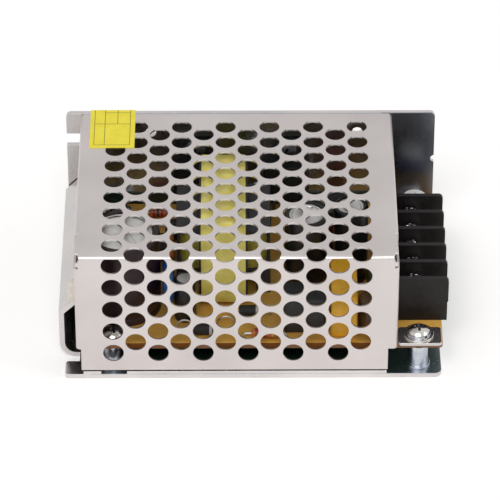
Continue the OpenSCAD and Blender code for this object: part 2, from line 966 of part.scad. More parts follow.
// Axial part standing on end on the board, its upper lead bent back down beside it
module standing_part(r, body_l) {
    loop = 1.1;
    foot = 3.4;
    wire_r = 0.3;
    top = foot + body_l + 0.8;
    translate([0, 0, foot])
        cylinder(r = r, h = body_l);
    cylinder(r = wire_r, h = top);
    translate([loop, 0, top])
        rotate([90, 0, 0])
            rotate_extrude(angle = 180)
                translate([loop, 0])
                    circle(wire_r);
    translate([2 * loop, 0, 0])
        cylinder(r = wire_r, h = top);
}

// Small electrolytics round the control circuit
module small_capacitors() {
    color([0.12, 0.12, 0.13])
        for (p = [[end_x + 28.6, -16.8], [end_x + 45.8, 18.6], [end_x + 12.5, 7.5]])
            translate([p[0], p[1], board_top])
                rotate_extrude()
                    union() {
                        square([2, 11]);
                        square([2.5, 10.5]);
                        translate([2, 10.5])
                            circle(0.5);
                    }
}

// Small dipped film capacitor
module film_capacitor() {
    color([0.45, 0.10, 0.07])
        along_z(board_top, board_top + 8.4)
            round_rect(end_x + 61.6, 19.2, end_x + 66, 22.2, 1.2);
}

// Metal tabs and leads of the two power devices, flat against the back wall
module power_device_tabs() {
    y1 = wall_in_y - pad_t;
    color([0.72, 0.72, 0.73])
        for (x = device_x)
            difference() {
                union() {
                    box(x - 5, y1 - 1.3, device_z, x + 5, y1, device_z + 15.4);
                    for (s = [-1, 0, 1])
                        translate([x + s * 2.54, y1 - 3, board_top])
                            box(-0.4, 0, 0, 0.4, 0.6, device_z + 1 - board_top);
                }
                rod_y(x, device_hole_z(), 1.8, y1 - 2, y1 + cut);
                box(x - 5.2, y1 - 4, device_z - eps, x + 5.2, y1 - 1.3, device_z + 2);
            }
}

// Moulded bodies of the power devices
module power_device_bodies() {
    y1 = wall_in_y - pad_t - 1.3;
    color([0.10, 0.10, 0.10])
        for (x = device_x)
            box(x - 5, y1 - 3.2, device_z, x + 5, y1, device_z + 9.2);
}

// Silicone pads between the devices and the back wall
module insulating_pads() {
    color([0.62, 0.64, 0.66])
        for (x = device_x)
            difference() {
                box(x - 5.7, wall_in_y - pad_t, device_z - 0.8, x + 5.7, wall_in_y, device_z + 16.2);
                rod_y(x, device_hole_z(), 1.7, wall_in_y - cut, wall_in_y + cut);
            }
}

// Screws that press the devices against the wall
module power_device_screws() {
    y1 = wall_in_y - pad_t - 1.3;
    color([0.78, 0.78, 0.78])
        for (x = device_x)
            translate([x, y1, device_hole_z()])
                rotate([90, 0, 0])
                    union() {
                        pan_head(2.7, 2);
                        translate([0, 0, -2.7])
                            cylinder(r = thread_r, h = 3);
                    }
}

// Dual in-line package: a body over two rows of legs
module dip(pins, body_l, body_w) {
    box(-body_l / 2, -body_w / 2, 0.7, body_l / 2, body_w / 2, 3.9);
    for (i = [0 : pins / 2 - 1], side = [0, 1])
        translate([(i - (pins / 2 - 1) / 2) * 2.54, 0, 0])
            mirror([0, side, 0])
                box(-0.3, body_w / 2 - 0.2, 0, 0.3, 3.9, 2);
}

module controller_chip() {
    color([0.12, 0.12, 0.12])
        translate([end_x + 20.6, 6.6, board_top])
            dip(8, 9.4, 6.3);
}

module optocoupler() {
    color([0.86, 0.86, 0.84])
        translate([end_x + 54.6, 17.6, board_top])
            rotate([0, 0, 90])
                dip(4, 4.6, 6.3);
}

// Voltage trimmer: a square body on three legs, with a round seat for its rotor
module trimmer_body() {
    half = 3.3;
    color([0.14, 0.30, 0.58])
        translate([trimmer_at[0], trimmer_at[1], 0])
            difference() {
                union() {
                    along_z(trimmer_z0, trimmer_top)
                        round_rect(-half, -half, half, half, 0.6);
                    for (p = [[-2.5, -1], [2.5, -1], [0, -2.6]])
                        box(p[0] - 0.4, p[1] - 0.4, board_top, p[0] + 0.4, p[1] + 0.4, trimmer_z0 + 1);
                }
                translate([0, 0, trimmer_top - 1.2])
                    cylinder(r = rotor_r + 0.05, h = 3);
            }
}

// Turning rotor of the trimmer, with a cross slot for a screwdriver
module trimmer_rotor() {
    z0 = trimmer_top - 1.2;
    top = trimmer_top + 2;
    color([0.88, 0.84, 0.74])
        translate([trimmer_at[0], trimmer_at[1], 0])
            difference() {
                translate([0, 0, z0])
                    cylinder(r = rotor_r, h = top - z0);
                for (a = [0, 90])
                    rotate([0, 0, a])
                        box(-1.7, -0.35, top - 0.9, 1.7, 0.35, top + cut);
            }
}

// Indicator light between the trimmer and the back wall
module indicator_led() {
    color([0.35, 0.75, 0.30])
        translate([end_x + 74.6, 17.4, board_top])
            rotate_extrude()
                union() {
                    square([1.9, 1]);
                    square([1.5, 2.2]);
                    intersection() {
                        translate([0, 2.2])
                            circle(1.5);
                        square([1.5, 4]);
                    }
                }
}

// Bead of sealant on the end wall's jog, against the cover's flap
module sealant_bead() {
    r = 1.3;
    x = cover_x0 - 0.6;
    y = end_wall_y0 + 1.2;
    gap = 0.05;
    color([0.80, 0.74, 0.66])
        difference() {
            translate([x, y, jog_z + 2.2])
                union() {
                    sphere(r = r);
                    cylinder(r = r, h = 4.4);
                    translate([0, 0, 4.4])
                        sphere(r = r);
                }
            box(cover_x0 - gap, y - 3, jog_z - 3, cover_x0 + 3, y + 3, jog_z + 12);
            along_y(y - 3, y + 3)
                polygon([
                    [end_x - 1, jog_z - 1 + gap],
                    [end_x + jog + 1, jog_z + jog + 1 + gap],
                    [end_x + jog + 1, jog_z - 4],
                    [end_x - 1, jog_z - 4]
                ]);
        }
}

// Tinned wire links on the board
module jumper_wires() {
    color([0.80, 0.80, 0.80])
        for (p = [[end_x + 37.8, -19.4], [end_x + 28.4, -20.7], [end_x + 38.5, 19.5]])
            translate([p[0], p[1], board_top])
                rotate([90, 0, 0])
                    rotate_extrude(angle = 180)
                        translate([1.9, 0])
                            circle(0.25);
}

chassis();
mesh_cover();
cover_screws();
insulation_sheet();
standoffs();
circuit_board();
ground_tab();
board_screws();
lock_washers();
flat_washers();
terminal_housing();
terminal_contacts();
terminal_screw_1();
terminal_screw_2();
terminal_screw_3();
terminal_screw_4();
terminal_screw_5();
terminal_clamp_1();
terminal_clamp_2();
terminal_clamp_3();
terminal_clamp_4();
terminal_clamp_5();
date_label();
input_capacitor_can();
input_capacitor_sleeve();
output_capacitor_cans();
output_capacitor_sleeves();
transformer_core();
transformer_bobbin();
transformer_winding();
transformer_tape();
x_capacitor();
y_capacitor();
line_choke();
output_choke_core();
output_choke_coil();
fuse();
thermistor();
rectifier_diodes();
resistors();
small_capacitors();
film_capacitor();
power_device_tabs();
power_device_bodies();
insulating_pads();
power_device_screws();
controller_chip();
optocoupler();
trimmer_body();
trimmer_rotor();
indicator_led();
sealant_bead();
jumper_wires();
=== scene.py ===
import json
import math

import bpy
from mathutils import Matrix, Vector


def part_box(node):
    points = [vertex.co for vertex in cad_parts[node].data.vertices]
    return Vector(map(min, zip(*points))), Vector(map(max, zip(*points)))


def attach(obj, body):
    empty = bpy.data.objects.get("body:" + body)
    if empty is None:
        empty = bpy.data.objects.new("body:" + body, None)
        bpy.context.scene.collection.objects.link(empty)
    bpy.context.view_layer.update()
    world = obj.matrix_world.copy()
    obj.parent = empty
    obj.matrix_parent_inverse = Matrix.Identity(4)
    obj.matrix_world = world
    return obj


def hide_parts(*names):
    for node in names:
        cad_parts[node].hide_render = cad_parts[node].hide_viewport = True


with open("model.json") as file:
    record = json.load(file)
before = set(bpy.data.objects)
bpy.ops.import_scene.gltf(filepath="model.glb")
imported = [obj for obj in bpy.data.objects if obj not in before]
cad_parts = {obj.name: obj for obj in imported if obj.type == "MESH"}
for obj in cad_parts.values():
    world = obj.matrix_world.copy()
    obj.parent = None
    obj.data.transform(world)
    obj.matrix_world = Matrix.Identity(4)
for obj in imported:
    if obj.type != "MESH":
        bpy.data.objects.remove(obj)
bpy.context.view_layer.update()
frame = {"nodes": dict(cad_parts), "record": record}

mm = 0.001
nodes = frame["nodes"]
bodyOf = {node: body for body, members in frame["record"]["behaviour"]["bodies"].items() for node in members}
print("frame loaded:", len(nodes), "nodes")


def linearColour(hexCode):
    parts = [int(hexCode[i:i + 2], 16) / 255 for i in (0, 2, 4)]
    return tuple(c / 12.92 if c <= 0.04045 else ((c + 0.055) / 1.055) ** 2.4 for c in parts) + (1.0,)


def addNode(tree, kind, inputs=None, **settings):
    node = tree.nodes.new(kind)
    for name, value in settings.items():
        setattr(node, name, value)
    for name, value in (inputs or {}).items():
        socket = node.inputs[name]
        if isinstance(value, bpy.types.NodeSocket):
            tree.links.new(value, socket)
        else:
            socket.default_value = value
    return node


def newMaterial(name):
    material = bpy.data.materials.new(name)
    material.use_nodes = True
    tree = material.node_tree
    shader = tree.nodes["Principled BSDF"]
    place = addNode(tree, "ShaderNodeTexCoord").outputs["Object"]
    return material, tree, shader, place


def setShader(shader, **values):
    for name, value in values.items():
        shader.inputs[name.replace("_", " ")].default_value = value


def noiseAt(tree, place, sizeMm, detail=3, stretch=None):
    # noise whose features are about sizeMm across; stretch gives a size for each axis instead
    scale = 1 / (sizeMm * mm)
    if stretch:
        perAxis = [1 / (size * mm) for size in stretch]
        place = addNode(tree, "ShaderNodeMapping", {"Vector": place, "Scale": perAxis}).outputs[0]
        scale = 1
    inputs = {"Vector": place, "Scale": scale, "Detail": detail}
    return addNode(tree, "ShaderNodeTexNoise", inputs).outputs["Fac"]


def twoTones(tree, factor, dark, light, low=0.3, high=0.7):
    ramp = addNode(tree, "ShaderNodeValToRGB", {"Fac": factor})
    ends = ramp.color_ramp.elements
    ends[0].position, ends[0].color = low, linearColour(dark)
    ends[1].position, ends[1].color = high, linearColour(light)
    return ramp.outputs[0]


def span(tree, value, low, high):
    # a share from 0 to 1 spread over a range
    inputs = {"Value": value, "To Min": low, "To Max": high}
    return addNode(tree, "ShaderNodeMapRange", inputs).outputs[0]


def mixColour(tree, factor, a, b):
    mix = addNode(tree, "ShaderNodeMix", {"Factor": factor, "A": a, "B": b}, data_type="RGBA")
    return mix.outputs["Result"]


def mathNode(tree, operation, a, b=0.0):
    return addNode(tree, "ShaderNodeMath", {0: a, 1: b}, operation=operation).outputs[0]


def within(tree, value, low, high):
    # 1 where a place lies between two sizes in mm, and 0 elsewhere
    over = mathNode(tree, "GREATER_THAN", value, low * mm)
    return mathNode(tree, "MULTIPLY", over, mathNode(tree, "LESS_THAN", value, high * mm))


def feed(tree, value, shader, name):
    tree.links.new(value, shader.inputs[name])


def bumpFrom(tree, shader, height, strength, depthMm):
    bump = addNode(tree, "ShaderNodeBump", {"Height": height, "Strength": strength, "Distance": depthMm * mm})
    feed(tree, bump.outputs[0], shader, "Normal")


def onlySelect(*pieces):
    bpy.ops.object.select_all(action="DESELECT")
    for piece in pieces:
        piece.select_set(True)
    bpy.context.view_layer.objects.active = pieces[0]


def editMode(piece, selectAll=True):
    onlySelect(piece)
    bpy.ops.object.mode_set(mode="EDIT")
    bpy.ops.mesh.select_mode(type="VERT")
    bpy.ops.mesh.select_all(action="SELECT" if selectAll else "DESELECT")


def objectMode():
    bpy.ops.object.mode_set(mode="OBJECT")


def applyModifier(piece, kind, **settings):
    onlySelect(piece)
    modifier = piece.modifiers.new(kind.lower(), kind)
    for name, value in settings.items():
        setattr(modifier, name, value)
    bpy.ops.object.modifier_apply(modifier=modifier.name)


def settle(piece, smoothAngle=35):
    # place into the mesh, object back to the origin
    onlySelect(piece)
    bpy.ops.object.transform_apply(location=True, rotation=True, scale=True)
    bpy.ops.object.shade_smooth_by_angle(angle=math.radians(smoothAngle))
    return piece


def drawn(name, points):
    # a chain of edges through the points, in mm, extruded from one vertex
    bpy.ops.object.select_all(action="DESELECT")
    bpy.ops.mesh.primitive_plane_add(size=mm, location=Vector(points[0]) * mm)
    piece = bpy.context.active_object
    piece.name = name
    bpy.ops.object.transform_apply(location=True)
    editMode(piece)
    bpy.ops.mesh.merge(type="CENTER")
    for here, there in zip(points, points[1:]):
        step = (Vector(there) - Vector(here)) * mm
        bpy.ops.mesh.extrude_region_move(TRANSFORM_OT_translate={"value": step})
    return piece


def turned(name, profile, steps=40):
    # lathe work: a profile of (radius, height) pairs spun round Z
    piece = drawn(name, [(radius, 0, height) for radius, height in profile])
    bpy.ops.mesh.select_all(action="SELECT")
    bpy.ops.mesh.spin(steps=steps, angle=math.tau, center=(0, 0, 0), axis=(0, 0, 1))
    bpy.ops.mesh.select_all(action="SELECT")
    bpy.ops.mesh.remove_doubles(threshold=0.002 * mm)
    bpy.ops.mesh.normals_make_consistent(inside=False)
    objectMode()
    return settle(piece)


def rounding(x, z, radius, angles):
    # points of a profile round an edge, about the centre (x, z), at angles in degrees
    turns = [math.radians(angle) for angle in angles]
    return [(x + radius * math.cos(turn), z + radius * math.sin(turn)) for turn in turns]


def wire(name, points, radius):
    # round wire along a line of points, closed at both ends
    piece = drawn(name, points)
    objectMode()
    bpy.ops.object.convert(target="CURVE")
    piece = bpy.context.active_object
    piece.data.bevel_depth = radius * mm
    piece.data.bevel_resolution = 2
    piece.data.use_fill_caps = True
    bpy.ops.object.convert(target="MESH")
    return settle(bpy.context.active_object, 50)


def narrowed(piece, chosen, shares, centre):
    # scales the chosen corners about a centre
    editMode(piece, selectAll=False)
    objectMode()
    for vertex in piece.data.vertices:
        vertex.select = chosen(vertex.co)
    bpy.ops.object.mode_set(mode="EDIT")
    bpy.ops.transform.resize(value=shares, center_override=centre)
    objectMode()


def block(name, low, high):
    # a plain block between two corners in mm, to cut with
    bpy.ops.object.select_all(action="DESELECT")
    low, high = Vector(low) * mm, Vector(high) * mm
    bpy.ops.mesh.primitive_cube_add(size=1, location=(low + high) / 2, scale=high - low)
    piece = bpy.context.active_object
    piece.name = name
    return settle(piece)


def copied(piece, at=(0, 0, 0), turn=(0, 0, 0)):
    # a copy with its own mesh, turned and then placed, in degrees and mm
    twin = bpy.data.objects.new(piece.name, piece.data.copy())
    bpy.context.collection.objects.link(twin)
    twin.rotation_euler = [math.radians(angle) for angle in turn]
    twin.location = Vector(at) * mm
    onlySelect(twin)
    bpy.ops.object.transform_apply(location=True, rotation=True, scale=True)
    return twin


def remove(*pieces):
    onlySelect(*pieces)
    bpy.ops.object.delete()


def joined(name, pieces):
    onlySelect(*pieces)
    if len(pieces) > 1:
        bpy.ops.object.join()
    piece = bpy.context.view_layer.objects.active
    piece.name = name
    return piece


def cutBy(piece, cutter):
    applyModifier(piece, "BOOLEAN", operation="DIFFERENCE", solver="EXACT", object=cutter)
    remove(cutter)


def coat(piece, material):
    piece.data.materials.clear()
    piece.data.materials.append(material)
    return piece


def standFor(piece, *nodeNames, name=None):
    # the piece takes the place and body of the CAD pieces it details, which are hidden
    piece.name = name or nodeNames[0] + "Detail"
    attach(piece, bodyOf[nodeNames[0]])
    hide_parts(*nodeNames)
    return piece


def solidBoxes(nodeName):
    # lowest and highest corner of each separate solid of a CAD piece, in mm, from left to right
    probe = bpy.data.objects.new("probe", nodes[nodeName].data.copy())
    bpy.context.collection.objects.link(probe)
    editMode(probe)
    bpy.ops.mesh.remove_doubles(threshold=1e-6)
    bpy.ops.mesh.separate(type="LOOSE")
    objectMode()
    parts = list(bpy.context.selected_objects)
    boxes = []
    for part in parts:
        corners = [vertex.co / mm for vertex in part.data.vertices]
        low = Vector([min(corner[i] for corner in corners) for i in range(3)])
        high = Vector([max(corner[i] for corner in corners) for i in range(3)])
        boxes.append((low, high))
    remove(*parts)
    return sorted(boxes, key=lambda box: tuple(round(v, 2) for v in box[0]))


def middle(box):
    return (box[0] + box[1]) / 2


def softened(nodeName, width, segments=2, angle=40):
    # a copy of a CAD piece whose cut edges are broken, as every real edge is
    piece = bpy.data.objects.new(nodeName + "Soft", nodes[nodeName].data.copy())
    bpy.context.collection.objects.link(piece)
    editMode(piece)
    bpy.ops.mesh.remove_doubles(threshold=1e-6)
    bpy.ops.mesh.dissolve_limited(angle_limit=math.radians(0.5))
    objectMode()
    applyModifier(piece, "BEVEL", width=width * mm, segments=segments, limit_method="ANGLE",
                  angle_limit=math.radians(angle), use_clamp_overlap=True)
    onlySelect(piece)
    bpy.ops.object.shade_smooth_by_angle(angle=math.radians(angle))
    # large flat faces keep their own normals beside the broken edges
    applyModifier(piece, "WEIGHTED_NORMAL", keep_sharp=True, weight=100)
    return piece


# places in mm just inside the sheet, past the inner faces of the cover's top and side wall
coverFaces = {"top": 33.35, "side": -27.4}


def rolledSheet():
    # cover: mill-finish rolled sheet, a satin grey with a faint warm cast; the walls of the punched holes
    # carry a painted highlight, near-white, less metallic and rougher
    material, tree, shader, place = newMaterial("rolled satin sheet")
    grain = noiseAt(tree, place, 1, 3, (25, 0.4, 0.4))
    cloud = noiseAt(tree, place, 18, 4)
    sheet = twoTones(tree, cloud, "CDC6C4", "D9D2D0")
    axes = addNode(tree, "ShaderNodeSeparateXYZ", {"Vector": place})
    normal = addNode(tree, "ShaderNodeTexCoord").outputs["Normal"]
    facing = addNode(tree, "ShaderNodeSeparateXYZ", {"Vector": normal})
    upward = mathNode(tree, "ABSOLUTE", facing.outputs["Z"])
    endward = mathNode(tree, "ABSOLUTE", facing.outputs["X"])
    rim = mathNode(tree, "LESS_THAN", mathNode(tree, "MAXIMUM", upward, endward), 0.5)
    onTop = mathNode(tree, "GREATER_THAN", axes.outputs["Z"], coverFaces["top"] * mm)
    inward = mathNode(tree, "GREATER_THAN", axes.outputs["Y"], coverFaces["side"] * mm)
    # the walls of the punched holes in the top: painted highlight, near-white and less metallic
    punchedRimHighlight = mathNode(tree, "MULTIPLY", mathNode(tree, "MULTIPLY", rim, onTop), inward)
    feed(tree, mixColour(tree, punchedRimHighlight, sheet, linearColour("F6F3F1")), shader, "Base Color")
    feed(tree, span(tree, punchedRimHighlight, 1.0, 0.15), shader, "Metallic")
    burr = mathNode(tree, "MULTIPLY", punchedRimHighlight, 0.6)
    feed(tree, mathNode(tree, "MAXIMUM", span(tree, cloud, 0.34, 0.46), burr), shader, "Roughness")
    bumpFrom(tree, shader, grain, 0.1, 0.02)
    return material


# where the chassis carries painted reflection, in mm: the skins of the back wall's and the base's inner
# faces, from the ears on the left onwards, and the part of the back wall past the cover
chassisFaces = {"back": (27.2, 27.5), "base": (1.1, 1.3), "ears": -37, "past": 30}


def platedSheet():
    # chassis: bright zinc-plated steel; the inner faces carry a cooler, bluer painted reflection, and the
    # back wall past the cover a darker painted reflection
    material, tree, shader, place = newMaterial("bright zinc-plated sheet")
    grain = noiseAt(tree, place, 1, 2, (16, 0.5, 0.5))
    cloud = noiseAt(tree, place, 11, 5)
    spots = noiseAt(tree, place, 0.5, 3)
    outside = twoTones(tree, cloud, "CCC8C7", "DAD5D3")
    # the inner faces: painted reflection, a cooler and bluer grey
    inside = twoTones(tree, cloud, "A9B0BC", "C3C6CA")
    axes = addNode(tree, "ShaderNodeSeparateXYZ", {"Vector": place})
    backWall = within(tree, axes.outputs["Y"], *chassisFaces["back"])
    basePlate = within(tree, axes.outputs["Z"], *chassisFaces["base"])
    pastEars = mathNode(tree, "GREATER_THAN", axes.outputs["X"], chassisFaces["ears"] * mm)
    inner = mathNode(tree, "MULTIPLY", mathNode(tree, "MAXIMUM", backWall, basePlate), pastEars)
    innerReflectionTint = mixColour(tree, inner, outside, inside)
    # the back wall past the cover: a darker painted reflection
    pastCover = mathNode(tree, "GREATER_THAN", axes.outputs["X"], chassisFaces["past"] * mm)
    openEndDarkReflection = mathNode(tree, "MULTIPLY", backWall, pastCover)
    feed(tree, mixColour(tree, openEndDarkReflection, innerReflectionTint, linearColour("85878E")), shader, "Base Color")
    speck = mathNode(tree, "MULTIPLY", mathNode(tree, "GREATER_THAN", spots, 0.66), 0.18)
    feed(tree, mathNode(tree, "ADD", span(tree, cloud, 0.22, 0.34), speck), shader, "Roughness")
    setShader(shader, Metallic=1.0)
    bumpFrom(tree, shader, grain, 0.1, 0.02)
    return material


def plainFinish(name, settings):
    # moulded, dipped or plated parts: two close tones, a fine surface and a little wear in the gloss
    material, tree, shader, place = newMaterial(name)
    field = noiseAt(tree, place, settings.get("grainMm", 1.5), 4)
    fine = noiseAt(tree, place, settings.get("fineMm", 0.25), 2)
    feed(tree, twoTones(tree, field, settings["dark"], settings["light"]), shader, "Base Color")
    feed(tree, span(tree, field, *settings["rough"]), shader, "Roughness")
    bumpFrom(tree, shader, fine, settings.get("bump", 0.15), settings.get("depthMm", 0.02))
    setShader(shader, Metallic=settings.get("metal", 0.0))
    setShader(shader, Specular_IOR_Level=settings.get("specular", 0.5))
    return material


plainFinishes = {
    # hardware
    "zinc plating": {"dark": "B4BAC4", "light": "CDD1D8", "rough": (0.2, 0.32), "metal": 1.0},
    "nickel plating": {"dark": "CFCBC6", "light": "DEDAD5", "rough": (0.12, 0.22), "metal": 1.0},
    "nickel plate": {"dark": "BDBABA", "light": "D0CDCB",
        "rough": (0.14, 0.3), "metal": 1.0, "grainMm": 0.5, "bump": 0.3},
    "tinned brass": {"dark": "C4BDA8", "light": "D4CEBC", "rough": (0.25, 0.38), "metal": 1.0},
    "tinned copper wire": {"dark": "C4C4C2", "light": "DADAD8", "rough": (0.22, 0.36), "metal": 1.0},
    "dull tinned tab": {"dark": "5C5D61", "light": "74757A", "rough": (0.35, 0.5), "metal": 1.0},
    "shadowed recess": {"dark": "3C3D40", "light": "55575B", "rough": (0.45, 0.6), "metal": 0.9},
    "drawn aluminium": {"dark": "DAD9D7", "light": "E8E7E4", "rough": (0.24, 0.38), "metal": 1.0},
    # mouldings and films
    "black moulded PBT": {"dark": "151212", "light": "1F1B1B",
        "rough": (0.42, 0.54), "fineMm": 0.12, "bump": 0.25, "specular": 0.3},
    "dark green polyester film": {"dark": "1C2B23", "light": "263A2F", "rough": (0.25, 0.4)},
    "brown shrink sleeve": {"dark": "261519", "light": "331C23", "rough": (0.3, 0.42)},
    "black shrink sleeve": {"dark": "151516", "light": "212123", "rough": (0.26, 0.38)},
    "dark ferrite": {"dark": "232325", "light": "303033",
        "rough": (0.55, 0.7), "fineMm": 0.15, "bump": 0.5},
    "dark phenolic bobbin": {"dark": "2B2B2D", "light": "38383A", "rough": (0.4, 0.55)},
    "black moulded case": {"dark": "1F1F20", "light": "2C2C2E", "rough": (0.35, 0.5)},
    "amber PBT case": {"dark": "F0B120", "light": "FCC534", "rough": (0.28, 0.4)},
    "blue dipped epoxy": {"dark": "0C4480", "light": "145A9C", "rough": (0.2, 0.35)},
    "enamelled copper": {"dark": "7A2713", "light": "9A3C1E", "rough": (0.2, 0.3), "metal": 0.6},
    "brown moulded fuse case": {"dark": "5A4028", "light": "735537", "rough": (0.16, 0.28)},
    "dark green lacquer": {"dark": "1C261C", "light": "2A362A", "rough": (0.3, 0.45)},
    "black epoxy body": {"dark": "141414", "light": "202020",
        "rough": (0.5, 0.65), "fineMm": 0.1, "bump": 0.3},
    "orange resistor lacquer": {"dark": "B85B2C", "light": "D27A45", "rough": (0.28, 0.42)},
    "red dipped epoxy": {"dark": "7A1A10", "light": "9C281A", "rough": (0.2, 0.3)},
    "red band": {"dark": "8E1A14", "light": "A8261D", "rough": (0.3, 0.4)},
    "black band": {"dark": "141212", "light": "201D1C", "rough": (0.3, 0.4)},
    "gold band": {"dark": "A07A2C", "light": "BC9340", "rough": (0.25, 0.35), "metal": 0.5},
    "silver band": {"dark": "BDBDBD", "light": "D0D0D0", "rough": (0.4, 0.5)},
    "grey silicone pad": {"dark": "4C4A46", "light": "5E5B56", "rough": (0.65, 0.8)},
    "white epoxy body": {"dark": "D8D8D3", "light": "EAEAE6", "rough": (0.4, 0.5)},
    "blue trimmer body": {"dark": "1B4788", "light": "2658A3", "rough": (0.3, 0.4)},
    "green clear epoxy": {"dark": "3A7A36", "light": "4E9448", "rough": (0.12, 0.2)},
    "beige silicone": {"dark": "E0D6C8", "light": "F3EBE0", "rough": (0.3, 0.45), "grainMm": 0.8},
    "yellow polyester tape": {"dark": "EADB66", "light": "FAEF86",
        "rough": (0.1, 0.22), "grainMm": 3, "fineMm": 1.2, "bump": 0.5, "depthMm": 0.08},
    # the winding's yellow tape, painted olive as painted shade
    "winding tape with painted shade": {"dark": "A29636", "light": "C4B850",
        "rough": (0.2, 0.35), "grainMm": 2, "fineMm": 0.9, "bump": 0.5, "depthMm": 0.06},
}
finish = {name: plainFinish(name, settings) for name, settings in plainFinishes.items()}
finish["rolled sheet"] = rolledSheet()
finish["plated sheet"] = platedSheet()


# heights just inside the board's two faces, in mm
boardFaces = {"top": 8.57, "bottom": 7.06}


def boardLaminate():
    # board: tan paper laminate under clear lacquer, darker brown on its sawn edges, partly painted shade,
    # green solder mask below
    material, tree, shader, place = newMaterial("tan phenolic laminate")
    weave = noiseAt(tree, place, 1, 3, (2, 0.4, 1))
    top = twoTones(tree, weave, "D9A248", "EEBB5C", 0.25, 0.75)
    axes = addNode(tree, "ShaderNodeSeparateXYZ", {"Vector": place})
    edge = mathNode(tree, "LESS_THAN", axes.outputs["Z"], boardFaces["top"] * mm)
    below = mathNode(tree, "LESS_THAN", axes.outputs["Z"], boardFaces["bottom"] * mm)
    # edge faces: darker brown, partly painted shade
    sides = mixColour(tree, edge, top, linearColour("8E5A2A"))
    feed(tree, mixColour(tree, below, sides, linearColour("1F5541")), shader, "Base Color")
    feed(tree, span(tree, weave, 0.34, 0.46), shader, "Roughness")
    return material


labelRules = {
    # each rule: its place and its two ends, as shares of the label, on the axis that it crosses
    "X": [(0.1, 0.07, 1), (0.33, 0.07, 1), (0.61, 0.63, 1), (0.89, 0.07, 1)],
    "Y": [(0.075, 0.1, 0.89), (0.63, 0.1, 0.89), (0.93, 0.33, 0.89)],
}
ruleWidth = 0.14


def labelPaper():
    # label: glossy yellow paper with a ruled frame and dividers; its fields stay bare
    material, tree, shader, place = newMaterial("yellow label paper")
    paper = twoTones(tree, noiseAt(tree, place, 2.5, 3), "F6E42E", "FEEE40")
    low, high = (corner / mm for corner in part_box("date_label"))
    axes = addNode(tree, "ShaderNodeSeparateXYZ", {"Vector": place})
    starts = {"X": low.x, "Y": low.y}
    sizes = {"X": high.x - low.x, "Y": high.y - low.y}
    ruled = mathNode(tree, "LESS_THAN", axes.outputs["X"], -1.0)
    for axis, other in (("X", "Y"), ("Y", "X")):
        for share, first, last in labelRules[axis]:
            at = starts[axis] + share * sizes[axis]
            ends = [starts[other] + end * sizes[other] for end in (first, last + 0.001)]
            across = within(tree, axes.outputs[axis], at - ruleWidth / 2, at + ruleWidth / 2)
            rule = mathNode(tree, "MULTIPLY", across, within(tree, axes.outputs[other], *ends))
            ruled = mathNode(tree, "MAXIMUM", ruled, rule)
    feed(tree, mixColour(tree, ruled, paper, linearColour("6B6420")), shader, "Base Color")
    setShader(shader, Roughness=0.36)
    return material


finish["board laminate"] = boardLaminate()
finish["label paper"] = labelPaper()
print("finishes ready:", len(finish))

nodeFinish = {
    "mesh_cover": "rolled sheet", "chassis": "plated sheet", "cover_screws": "zinc plating",
    "insulation_sheet": "dark green polyester film", "standoffs": "zinc plating",
    "circuit_board": "board laminate", "ground_tab": "nickel plate",
    "board_screws": "nickel plating", "lock_washers": "zinc plating",
    "flat_washers": "nickel plating", "terminal_housing": "black moulded PBT",
    "terminal_contacts": "tinned brass", "date_label": "label paper",
    "input_capacitor_can": "drawn aluminium", "input_capacitor_sleeve": "brown shrink sleeve",
    "output_capacitor_cans": "drawn aluminium", "output_capacitor_sleeves": "black shrink sleeve",
    "transformer_core": "dark ferrite", "transformer_bobbin": "dark phenolic bobbin",
    "transformer_winding": "winding tape with painted shade", "transformer_tape": "yellow polyester tape",
    "x_capacitor": "amber PBT case", "y_capacitor": "blue dipped epoxy",
    "line_choke": "black moulded case", "output_choke_core": "dark ferrite",
    "output_choke_coil": "enamelled copper", "fuse": "brown moulded fuse case",
    "thermistor": "dark green lacquer", "rectifier_diodes": "black epoxy body",
    "resistors": "orange resistor lacquer", "small_capacitors": "black shrink sleeve",
    "film_capacitor": "red dipped epoxy", "power_device_tabs": "dull tinned tab",
    "power_device_bodies": "black epoxy body", "insulating_pads": "grey silicone pad",
    "power_device_screws": "dull tinned tab", "controller_chip": "black epoxy body",
    "optocoupler": "white epoxy body", "trimmer_body": "blue trimmer body",
    "trimmer_rotor": "white epoxy body", "indicator_led": "green clear epoxy",
    "sealant_bead": "beige silicone", "jumper_wires": "tinned copper wire",
}
for number in range(1, 6):
    nodeFinish["terminal_screw_%d" % number] = "nickel plating"
    nodeFinish["terminal_clamp_%d" % number] = "zinc plating"
for nodeName, finishName in nodeFinish.items():
    coat(nodes[nodeName], finish[finishName])
print("CAD pieces finished")

# width, in mm, of the broken edges on pieces whose CAD shape is otherwise the real one
brokenEdges = {
    "mesh_cover": 0.08, "chassis": 0.16, "terminal_housing": 0.2, "ground_tab": 0.14,
    "flat_washers": 0.09, "standoffs": 0.12, "circuit_board": 0.08, "x_capacitor": 0.5,
    "line_choke": 0.35, "transformer_core": 0.3, "transformer_bobbin": 0.15,
    "power_device_tabs": 0.08, "power_device_bodies": 0.18, "controller_chip": 0.12,
    "optocoupler": 0.12, "trimmer_body": 0.15, "trimmer_rotor": 0.12, "terminal_contacts": 0.08,
    "film_capacitor": 0.6, "indicator_led": 0.06,
}
for number in range(1, 6):
    brokenEdges["terminal_clamp_%d" % number] = 0.12
for nodeName, width in brokenEdges.items():
    piece = softened(nodeName, width, segments=3 if width > 0.25 else 2)
    standFor(coat(piece, finish[nodeFinish[nodeName]]), nodeName)
print("edges broken:", len(brokenEdges))

